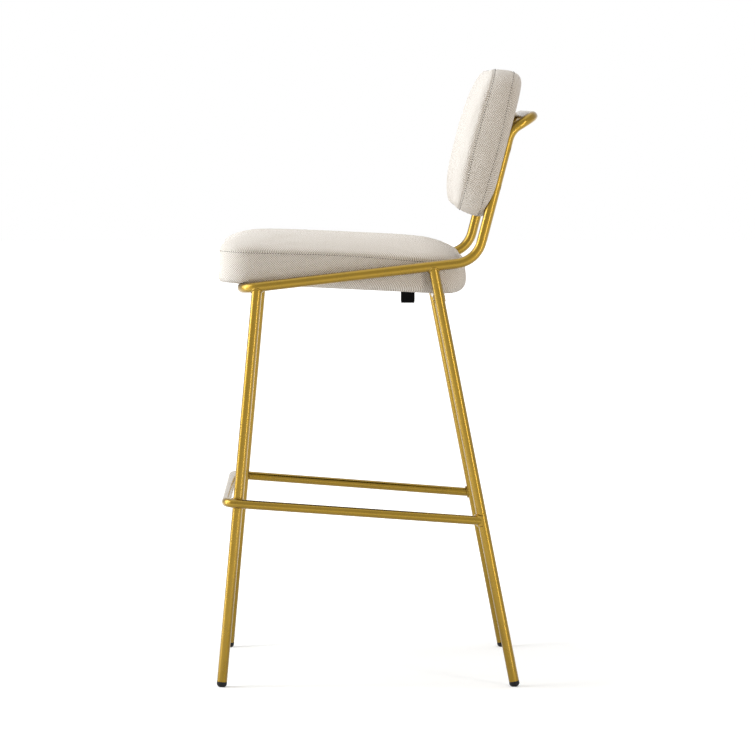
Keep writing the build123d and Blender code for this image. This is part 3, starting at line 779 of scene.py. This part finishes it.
def plane(origin, across, along):
    """Matrix of a work plane: x across, y along, z off the plane."""
    out = across.cross(along)
    turn = Matrix((across, along, out)).transposed().to_4x4()
    return Matrix.Translation(origin) @ turn


def middle(node):
    """Middle of a CAD node's box."""
    low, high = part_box(node)
    return (low + high) / 2


def seat_place(seat):
    """Work plane on the seat's underside, and the seat's half depth, from the bars that carry it."""
    front, rear = middle("frame_closing_weld"), middle("rear_seat_bar")
    along = (rear - front).normalized()
    across = Vector((1, 0, 0))
    half_depth = ((rear - front).length + seat.front_overhang + seat.rear_overhang) / 2
    up = across.cross(along)
    origin = front + along * (half_depth - seat.front_overhang) + up * seat.rest_height
    return plane(origin, across, along), half_depth


def half_width_of(node):
    """Half the width of a CAD node."""
    low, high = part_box(node)
    return (high.x - low.x) / 2


def weld_bead(beads, leg, rail):
    """A weld bead round the top of a leg, along the line where it meets the rail."""
    leg_radius = 9 * MM
    bead_radius = 1.9 * MM
    inside = 0.5 * MM
    foot_length = 5 * MM
    turns, sides = 48, 10
    ripples, ripple_share = 12, 0.06
    points = [vertex.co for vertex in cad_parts[leg].data.vertices]
    end_height = min(point.z for point in points) + foot_length
    end = [point for point in points if point.z < end_height]
    foot = sum(end, Vector()) / len(end)
    across = (end[0] - foot).normalized()
    along = max((across.cross(point - foot) for point in end), key=lambda normal: normal.length).normalized()
    along *= math.copysign(1.0, along.z)
    side = along.cross(across)
    rings = []
    for number in range(turns):
        angle = 2 * math.pi * number / turns
        out = across * math.cos(angle) + side * math.sin(angle)
        spot, _, _, _ = rail.ray_cast(foot + out * (leg_radius - inside), along)
        radius = bead_radius * (1 + ripple_share * math.sin(ripples * angle))
        ring = []
        for step in range(sides):
            turn = 2 * math.pi * step / sides
            point = spot + out * (inside + radius * math.cos(turn)) + along * radius * math.sin(turn)
            ring.append(beads.verts.new(point))
        rings.append(ring)
    for one, other in zip(rings, rings[1:] + rings[:1]):
        for step in range(sides):
            beads.faces.new((one[step - 1], one[step], other[step], other[step - 1]))


def make_cushion(names, pad, place, scene, tubes, nodes, rows):
    """Sew, stuff and place a cushion, and lay its rows of stitches."""
    cushion_name, stitches_name = names
    sewing, finishes, materials = scene.stool_sewing, scene.stool_finishes, bpy.data.materials
    mesh = sewn_pad(cushion_name, pad, place, sewing)
    swell(mesh, sewing)
    mesh = subdivided(mesh)
    press_tubes(mesh, place, tubes)
    fabric = materials.get("woven_polyester") or woven_polyester(finishes)
    cushion = finished_piece(cushion_name, mesh, fabric, nodes)
    stitches = stitch_rows(stitches_name, pad, place, mesh, rows, sewing)
    # Stitches in a dark thread whose colour is painted shade of the stitch dimples.
    thread = materials.get("thread_with_painted_dimple_shade") or twisted_thread(finishes)
    finished_piece(stitches_name, stitches, thread)


# Names that the CAD nodes of the legs and glides start with
CORNERS = [f"{end}_{side}" for end in ("front", "rear") for side in ("left", "right")]


# Operators
class STOOL_OT_seat_cushion(bpy.types.Operator):
    """Sew, stuff and place the seat cushion with its row of stitches."""

    bl_idname = "stool.seat_cushion"
    bl_label = "Seat Cushion"

    def execute(self, context):
        seat, sewing = context.scene.stool_seat, context.scene.stool_sewing
        round_rows, straight_rows, crown_round_rows, crown_flat_rows = 5, 10, 24, 14
        bulge = 1.5
        roll_width = 60 * MM
        place, half_depth = seat_place(seat)
        half_width = half_width_of("seat_side_cover")
        pad = SimpleNamespace(half_width=half_width, half_depth=half_depth, corner=seat.corner, cell=6 * MM)
        pad.bottom_sewn = False
        pad.held_courses = round_rows + 1
        rounds, seam, draw = by_side(seat.bottom_round), by_side(seat.seam), by_side(seat.seam_draw)
        pad.band_rows = []
        for number in range(round_rows + 1):
            turn = math.pi / 2 * number / round_rows
            rise, inward = 1 - math.cos(turn), 1 - math.sin(turn)
            pad.band_rows.append(
                [((radius + seat.edge_roll) * rise - seat.edge_roll, radius * inward) for radius in rounds]
            )
        for number in range(1, straight_rows + 1):
            share = 1 - (1 - number / straight_rows) ** bulge
            pad.band_rows.append(
                [(rounds[s] + (seam[s] - rounds[s]) * share, draw[s] * share**2) for s in range(4)]
            )
        edge, run = by_side(seat.crown_edge), by_side(seat.crown_run)
        pad.top_rows = crown_rows(pad, seam, draw, edge, run, seat.crest, crown_round_rows, crown_flat_rows)
        middle_line = min(half_width, half_depth)
        rings = crown_round_rows + crown_flat_rows
        pad.bottom_rows = []
        for number in range(rings + 1):
            insets = [radius + (middle_line - radius) * number / rings for radius in rounds]
            pad.bottom_rows.append(
                [
                    (seat.edge_roll * (smooth((inset - radius) / roll_width) - 1), inset)
                    for inset, radius in zip(insets, rounds)
                ]
            )
        drawn = sewing.seam_depth / 2
        row = [(seam[s] - sewing.stitch_offset, draw[s] + drawn) for s in range(4)]
        make_cushion(
            ("seat_cushion", "seat_stitches"),
            pad,
            place,
            context.scene,
            tubes=["upper_frame_tube", "rear_seat_bar"],
            nodes=["seat_top_cover", "seat_side_cover", "seat_foam"],
            rows=[row],
        )
        return {"FINISHED"}


class STOOL_OT_back_cushion(bpy.types.Operator):
    """Sew, stuff and place the backrest cushion, with its two seams and the grooves for the uprights."""

    bl_idname = "stool.back_cushion"
    bl_label = "Backrest Cushion"

    def execute(self, context):
        back, sewing = context.scene.stool_back, context.scene.stool_sewing
        band_rows, front_rows, rear_rows = 12, (20, 8), (8, 20)
        across = Vector((1, 0, 0))
        along = Vector((0, math.sin(back.lean), math.cos(back.lean)))
        out = across.cross(along)
        place = plane(middle("back_board") - out * back.board_middle, across, along)
        half_width = half_width_of("back_side_cover")
        half_depth = back.height / 2
        pad = SimpleNamespace(half_width=half_width, half_depth=half_depth, corner=back.corner, cell=6 * MM)
        pad.bottom_sewn = True
        pad.held_courses = 0
        rounds, seam, draw = by_side(back.rear_round), by_side(back.seam), by_side(back.seam_draw)
        rear_draw = 4 * (back.rear_draw,)
        edge, run = by_side(back.crown_edge), by_side(back.crown_run)
        pad.top_rows = crown_rows(pad, seam, draw, edge, run, back.crest, *front_rows)
        pad.band_rows = []
        for number in range(band_rows + 1):
            share = (1 - math.cos(math.pi * number / band_rows)) / 2
            row = []
            for side in range(4):
                depth = rounds[side] + (seam[side] - rounds[side]) * share
                if depth < back.widest:
                    inset = back.rear_draw * ((back.widest - depth) / (back.widest - rounds[side])) ** 2
                else:
                    inset = draw[side] * ((depth - back.widest) / (seam[side] - back.widest)) ** 2
                row.append((depth, inset))
            pad.band_rows.append(row)
        pad.bottom_rows = crown_rows(pad, rounds, rear_draw, 4 * (0.0,), rounds, 0.0, *rear_rows)
        drawn = sewing.seam_depth / 2
        rows = [
            [(seam[s] - sewing.stitch_offset, draw[s] + drawn) for s in range(4)],
            [(rounds[s] + sewing.stitch_offset, rear_draw[s] + drawn) for s in range(4)],
        ]
        make_cushion(
            ("back_cushion", "back_stitches"),
            pad,
            place,
            context.scene,
            tubes=["upper_frame_tube"],
            nodes=["back_front_cover", "back_side_cover", "back_rear_cover", "back_foam"],
            rows=rows,
        )
        return {"FINISHED"}


class STOOL_OT_dust_cover(bpy.types.Operator):
    """Stretch the black dust cover under the seat."""

    bl_idname = "stool.dust_cover"
    bl_label = "Dust Cover"

    def execute(self, context):
        seat, finishes = context.scene.stool_seat, context.scene.stool_finishes
        place, half_depth = seat_place(seat)
        margin = 22 * MM
        half_width = half_width_of("seat_side_cover") - margin
        half_length = half_depth - margin
        corner = 40 * MM
        below = 30 * MM
        gap = 0.35 * MM
        thickness = 0.3 * MM
        flat = place.inverted()
        down = place.to_3x3() @ Vector((0, 0, -1))
        underside = surface_of(bpy.data.objects["seat_cushion"].data)
        cloth = bmesh.new()
        bmesh.ops.create_grid(cloth, x_segments=64, y_segments=66, size=1.0)
        for vertex in cloth.verts:
            x, y = vertex.co.x * half_width, vertex.co.y * half_length
            from_centre = Vector((abs(x) - half_width + corner, abs(y) - half_length + corner))
            if min(from_centre) > 0:
                rounded = from_centre * (max(from_centre) / from_centre.length)
                x = math.copysign(half_width - corner + rounded.x, x)
                y = math.copysign(half_length - corner + rounded.y, y)
            spot, _, _, _ = underside.ray_cast(place @ Vector((x, y, -below)), -down)
            vertex.co = place @ Vector((x, y, (flat @ spot).z - gap))
        bmesh.ops.recalc_face_normals(cloth, faces=cloth.faces)
        if sum(face.normal.dot(down) for face in cloth.faces) < 0:
            bmesh.ops.reverse_faces(cloth, faces=cloth.faces)
        bmesh.ops.solidify(cloth, geom=cloth.faces[:], thickness=thickness)
        mesh = mesh_from(cloth, "dust_cover")
        fleece = bonded_fleece(finishes)
        cover = finished_piece("dust_cover", mesh, fleece, ["seat_dust_cover"])
        return {"FINISHED"}


class STOOL_OT_side_tag(bpy.types.Operator):
    """Fold and hang the bare black tag at the seat's lower edge."""

    bl_idname = "stool.side_tag"
    bl_label = "Side Tag"

    def execute(self, context):
        finishes = context.scene.stool_finishes
        low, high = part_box("side_tag")
        width, height = high.y - low.y, high.z - low.z
        centre = middle("side_tag")
        thickness = 0.7 * MM
        swing, twist = 1.2 * MM, 0.4 * MM
        taper, taper_start = 0.06, 0.8
        ribbon = bmesh.new()
        bmesh.ops.create_grid(ribbon, x_segments=16, y_segments=16, size=1.0)
        for vertex in ribbon.verts:
            across, down = vertex.co.x, (1 - vertex.co.y) / 2
            tuck = taper * max(0.0, down - taper_start) / (1 - taper_start)
            x = centre.x + swing * down**2 + twist * math.sin(math.pi * across / 2) * down
            y = centre.y + across * (1 - tuck) * width / 2
            vertex.co = Vector((x, y, high.z - down * height))
        bmesh.ops.recalc_face_normals(ribbon, faces=ribbon.faces)
        bmesh.ops.solidify(ribbon, geom=ribbon.faces[:], thickness=thickness)
        mesh = mesh_from(ribbon, "folded_tag")
        tag = finished_piece("folded_tag", mesh, woven_ribbon(finishes), ["side_tag"])
        return {"FINISHED"}


class STOOL_OT_tube_frame(bpy.types.Operator):
    """Lacquer the tubes, and run the weld beads round the leg tops."""

    bl_idname = "stool.tube_frame"
    bl_label = "Tube Frame"

    def execute(self, context):
        lacquer = brass_lacquer(context.scene.stool_finishes)
        tubes = ["upper_frame_tube", "rear_seat_bar", "footrest_tube"]
        legs = [f"{corner}_leg" for corner in CORNERS]
        welds = [
            "frame_closing_weld",
            "footrest_front_welds",
            "footrest_rear_welds",
            "rear_seat_bar_welds",
        ]
        dress(tubes + legs + welds, lacquer)
        rail = surface_of(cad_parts["upper_frame_tube"].data)
        beads = bmesh.new()
        for leg in legs:
            weld_bead(beads, leg, rail)
        mesh = mesh_from(beads, "leg_weld_beads")
        finished_piece("leg_weld_beads", mesh, lacquer, ["leg_welds"])
        return {"FINISHED"}


class STOOL_OT_fixings(bpy.types.Operator):
    """Finish the glides, plugs, boards, screws, nuts and staples."""

    bl_idname = "stool.fixings"
    bl_label = "Glides and Fixings"

    def execute(self, context):
        finishes = context.scene.stool_finishes
        glides = [f"{corner}_glide" for corner in CORNERS]
        dress(glides, moulded_polypropylene("moulded_black_polypropylene", finishes.black_plastic))
        dress(["back_hole_plugs"], moulded_polypropylene("moulded_brass_polypropylene", finishes.brass))
        steel = [
            "frame_closing_sleeve",
            "seat_staples",
            "seat_tee_nuts",
            "seat_screws",
            "seat_saddle_washers",
            "back_tee_nuts",
            "back_screws",
        ]
        dress(steel, zinc_plate(finishes))
        dress(["seat_board", "back_board"], birch_plywood(finishes))
        return {"FINISHED"}


class STOOL_OT_studio(bpy.types.Operator):
    """Set up the floor, the soft light, the white background and the camera."""

    bl_idname = "stool.studio"
    bl_label = "Studio"

    def execute(self, context):
        studio = context.scene.stool_studio
        self.make_camera(context.scene, studio)
        self.make_world(context.scene, studio)
        self.make_floor(studio)
        self.make_lights(studio)
        context.scene.view_settings.view_transform = "Standard"
        return {"FINISHED"}

    def make_camera(self, scene, studio):
        """A camera at the photograph's place and angle."""
        data = bpy.data.cameras.new("studio_camera")
        data.lens = studio.lens
        data.sensor_width = 36
        data.clip_end = 100
        camera = add_object("studio_camera", data)
        forward = Vector(
            (
                -math.cos(studio.pitch) * math.cos(studio.yaw),
                math.cos(studio.pitch) * math.sin(studio.yaw),
                -math.sin(studio.pitch),
            )
        )
        right = Vector((math.sin(studio.yaw), math.cos(studio.yaw), 0))
        camera.matrix_world = plane(studio.eye, right, right.cross(forward))
        scene.camera = camera

    def make_world(self, scene, studio):
        """A white background for the eye and for reflections, and a plain room light for the rest."""
        world = bpy.data.worlds.new("white_studio")
        add = empty_tree(world)
        path = add("ShaderNodeLightPath").outputs
        mirrored = add(
            "ShaderNodeMath",
            {0: path["Is Glossy Ray"], 1: path["Is Transmission Ray"]},
            operation="MAXIMUM",
        )
        seen = add("ShaderNodeMath", {0: path["Is Camera Ray"], 1: mirrored}, operation="MAXIMUM")
        place = add("ShaderNodeTexCoord").outputs["Generated"]
        sideways = add("ShaderNodeSeparateXYZ", {0: place})
        turned = add("ShaderNodeMath", {0: sideways}, {1: 0.5, 2: 0.5}, operation="MULTIPLY_ADD")
        ends = {0: colour("#F9F9F9"), 1: colour("#675945")}
        between = {0.5: colour("#CBCBCB"), 0.8: colour("#746755")}
        room = add("ShaderNodeValToRGB", {"Fac": turned}, stops={**ends, **between})
        lit = add("ShaderNodeBackground", {"Color": room}, {"Strength": studio.ambient})
        white = add("ShaderNodeBackground", values={"Color": colour("#FFFFFF"), "Strength": 1.0})
        outer = add("ShaderNodeMixShader", {0: seen, 1: lit, 2: white})
        add("ShaderNodeOutputWorld", {"Surface": outer})
        scene.world = world

    def make_floor(self, studio):
        """A pale paper sweep that keeps the stool's shadow, and turns white to the eye further out."""
        fibre = 6 * MM
        near, far = 0.45, 1.3
        near_glow, far_glow = 0.3, 1.0
        half_size = 20.0
        material = bpy.data.materials.new("white_paper_sweep")
        add = empty_tree(material)
        place = add("ShaderNodeTexCoord").outputs["Object"]
        pulp = add("ShaderNodeTexNoise", {"Vector": place}, {"Scale": 1 / fibre, "Detail": 2.0})
        stops = {0: shaded(studio.floor, 0.97), 1: studio.floor}
        tint = add("ShaderNodeValToRGB", {"Fac": pulp.outputs["Fac"]}, stops=stops)
        paper = add("ShaderNodeBsdfDiffuse", {"Color": tint})
        shadowed = add("ShaderNodeBsdfDiffuse", values={"Color": colour("#E7E7E7")})
        distance = add("ShaderNodeVectorMath", {0: place}, operation="LENGTH")
        brightness = add(
            "ShaderNodeMapRange",
            {"Value": distance.outputs["Value"]},
            {"From Min": near, "From Max": far, "To Min": near_glow, "To Max": far_glow},
        )
        glow = add("ShaderNodeEmission", {"Strength": brightness}, {"Color": colour("#FFFFFF")})
        seen = add("ShaderNodeAddShader", {0: shadowed, 1: glow})
        path = add("ShaderNodeLightPath").outputs
        rays = {0: path["Is Camera Ray"], 1: path["Is Glossy Ray"]}
        eye = add("ShaderNodeMath", rays, operation="MAXIMUM")
        both = add("ShaderNodeMixShader", {0: eye, 1: paper, 2: seen})
        add("ShaderNodeOutputMaterial", {"Surface": both})
        sheet = bmesh.new()
        bmesh.ops.create_grid(sheet, x_segments=1, y_segments=1, size=half_size)
        mesh = mesh_from(sheet, "studio_floor")
        mesh.materials.append(material)
        floor = add_object("studio_floor", mesh)

    def make_lights(self, studio):
        """Cool light from ahead and above, and warm strip lights to the front side and the rear side."""
        target = Vector((0, 0, 0.6))
        cool, warm = colour("#F7FCFF")[:3], colour("#FFF7EA")[:3]
        for name, power, tint, width, height, place in (
            ("front_soft_box", studio.key, cool, 2.4, 2.6, (0.2, -3.0, 1.9)),
            ("front_strip_light", studio.strip, cool, 0.25, 1.6, (0.285, -1.76, 0.82)),
            ("side_strip_light", studio.fill, warm, 0.22, 1.6, (0.87, -1.66, 0.82)),
            ("top_soft_box", studio.top, cool, 3.0, 3.0, (0.0, -0.2, 3.2)),
            ("rear_strip_light", studio.side, warm, 0.2, 1.5, (1.5, 1.15, 0.77)),
        ):
            data = bpy.data.lights.new(name, "AREA")
            data.energy = power
            data.color = tint
            data.shape = "RECTANGLE"
            data.size, data.size_y = width, height
            lamp = add_object(name, data)
            lamp.location = place
            lamp.rotation_euler = (target - Vector(place)).to_track_quat("-Z", "Y").to_euler()


class STOOL_PT_sidebar(bpy.types.Panel):
    """Lists the stool's pieces, its sizes and its finishes."""

    bl_idname = "STOOL_PT_sidebar"
    bl_label = "Bar Stool"
    bl_space_type = "VIEW_3D"
    bl_region_type = "UI"
    bl_category = "Bar Stool"

    def draw(self, context):
        for operator in OPERATORS:
            self.layout.operator(operator.bl_idname)
        for name in GROUPS:
            box = self.layout.box()
            sizes = getattr(context.scene, name)
            for item in sizes.__annotations__:
                box.prop(sizes, item)


GROUPS = {
    "stool_seat": StoolSeatSizes,
    "stool_back": StoolBackSizes,
    "stool_sewing": StoolSewing,
    "stool_finishes": StoolFinishes,
    "stool_studio": StoolStudio,
}
OPERATORS = (
    STOOL_OT_studio,
    STOOL_OT_seat_cushion,
    STOOL_OT_back_cushion,
    STOOL_OT_dust_cover,
    STOOL_OT_side_tag,
    STOOL_OT_tube_frame,
    STOOL_OT_fixings,
)


def register():
    """Register the groups, operators and panel."""
    for name, group in GROUPS.items():
        bpy.utils.register_class(group)
        setattr(bpy.types.Scene, name, PointerProperty(type=group))
    for made in (*OPERATORS, STOOL_PT_sidebar):
        bpy.utils.register_class(made)


def unregister():
    """Take everything out again."""
    for made in reversed((*OPERATORS, STOOL_PT_sidebar)):
        bpy.utils.unregister_class(made)
    for name, group in GROUPS.items():
        delattr(bpy.types.Scene, name)
        bpy.utils.unregister_class(group)


def main():
    """Make every piece and the stage."""
    register()
    bpy.ops.stool.studio()
    bpy.ops.stool.seat_cushion()
    bpy.ops.stool.back_cushion()
    bpy.ops.stool.dust_cover()
    bpy.ops.stool.side_tag()
    bpy.ops.stool.tube_frame()
    bpy.ops.stool.fixings()


if __name__ == "__main__":
    main()
